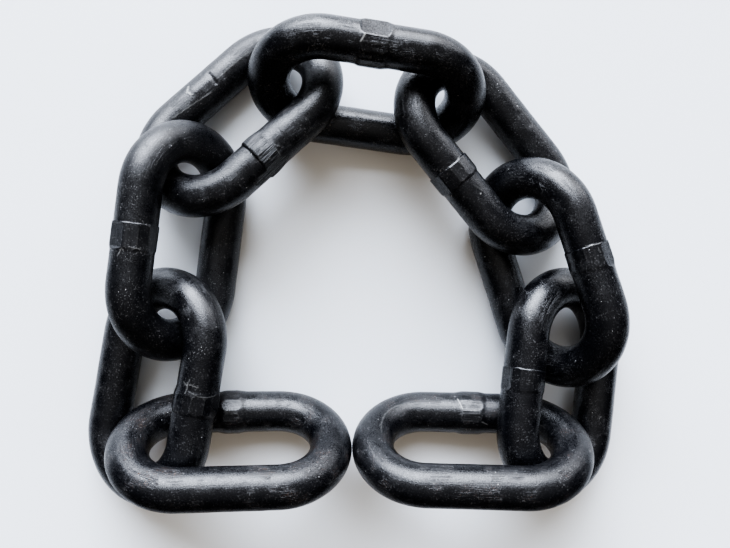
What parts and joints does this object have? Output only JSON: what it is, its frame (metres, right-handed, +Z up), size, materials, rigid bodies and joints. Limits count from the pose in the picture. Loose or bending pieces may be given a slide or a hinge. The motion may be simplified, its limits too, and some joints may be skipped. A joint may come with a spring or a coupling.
{
  "type": "lifting chain",
  "caption": "Length of heavy round-link steel lifting chain with trimmed welds and a blackened finish, lying on the floor in an arch with its links leaning on each other.",
  "frame": {"origin": "on the floor, below the middle of the heap's box", "axes": "+X across the arch from its left foot to its right foot, +Y from the open side with the two loose end links to the closed side, +Z up"},
  "size_m": [0.2682, 0.2344, 0.0678],
  "materials": {
    "black_steel": "alloy steel blackened by heat treatment under a thin dark lacquer, semi-gloss with fine scale"
  },
  "bodies": {
    "root": {"link_1": "black_steel", "link_2": "black_steel", "link_3": "black_steel", "link_4": "black_steel", "link_5": "black_steel", "link_6": "black_steel", "link_7": "black_steel", "link_8": "black_steel", "link_9": "black_steel"}
  },
  "joints": []
}
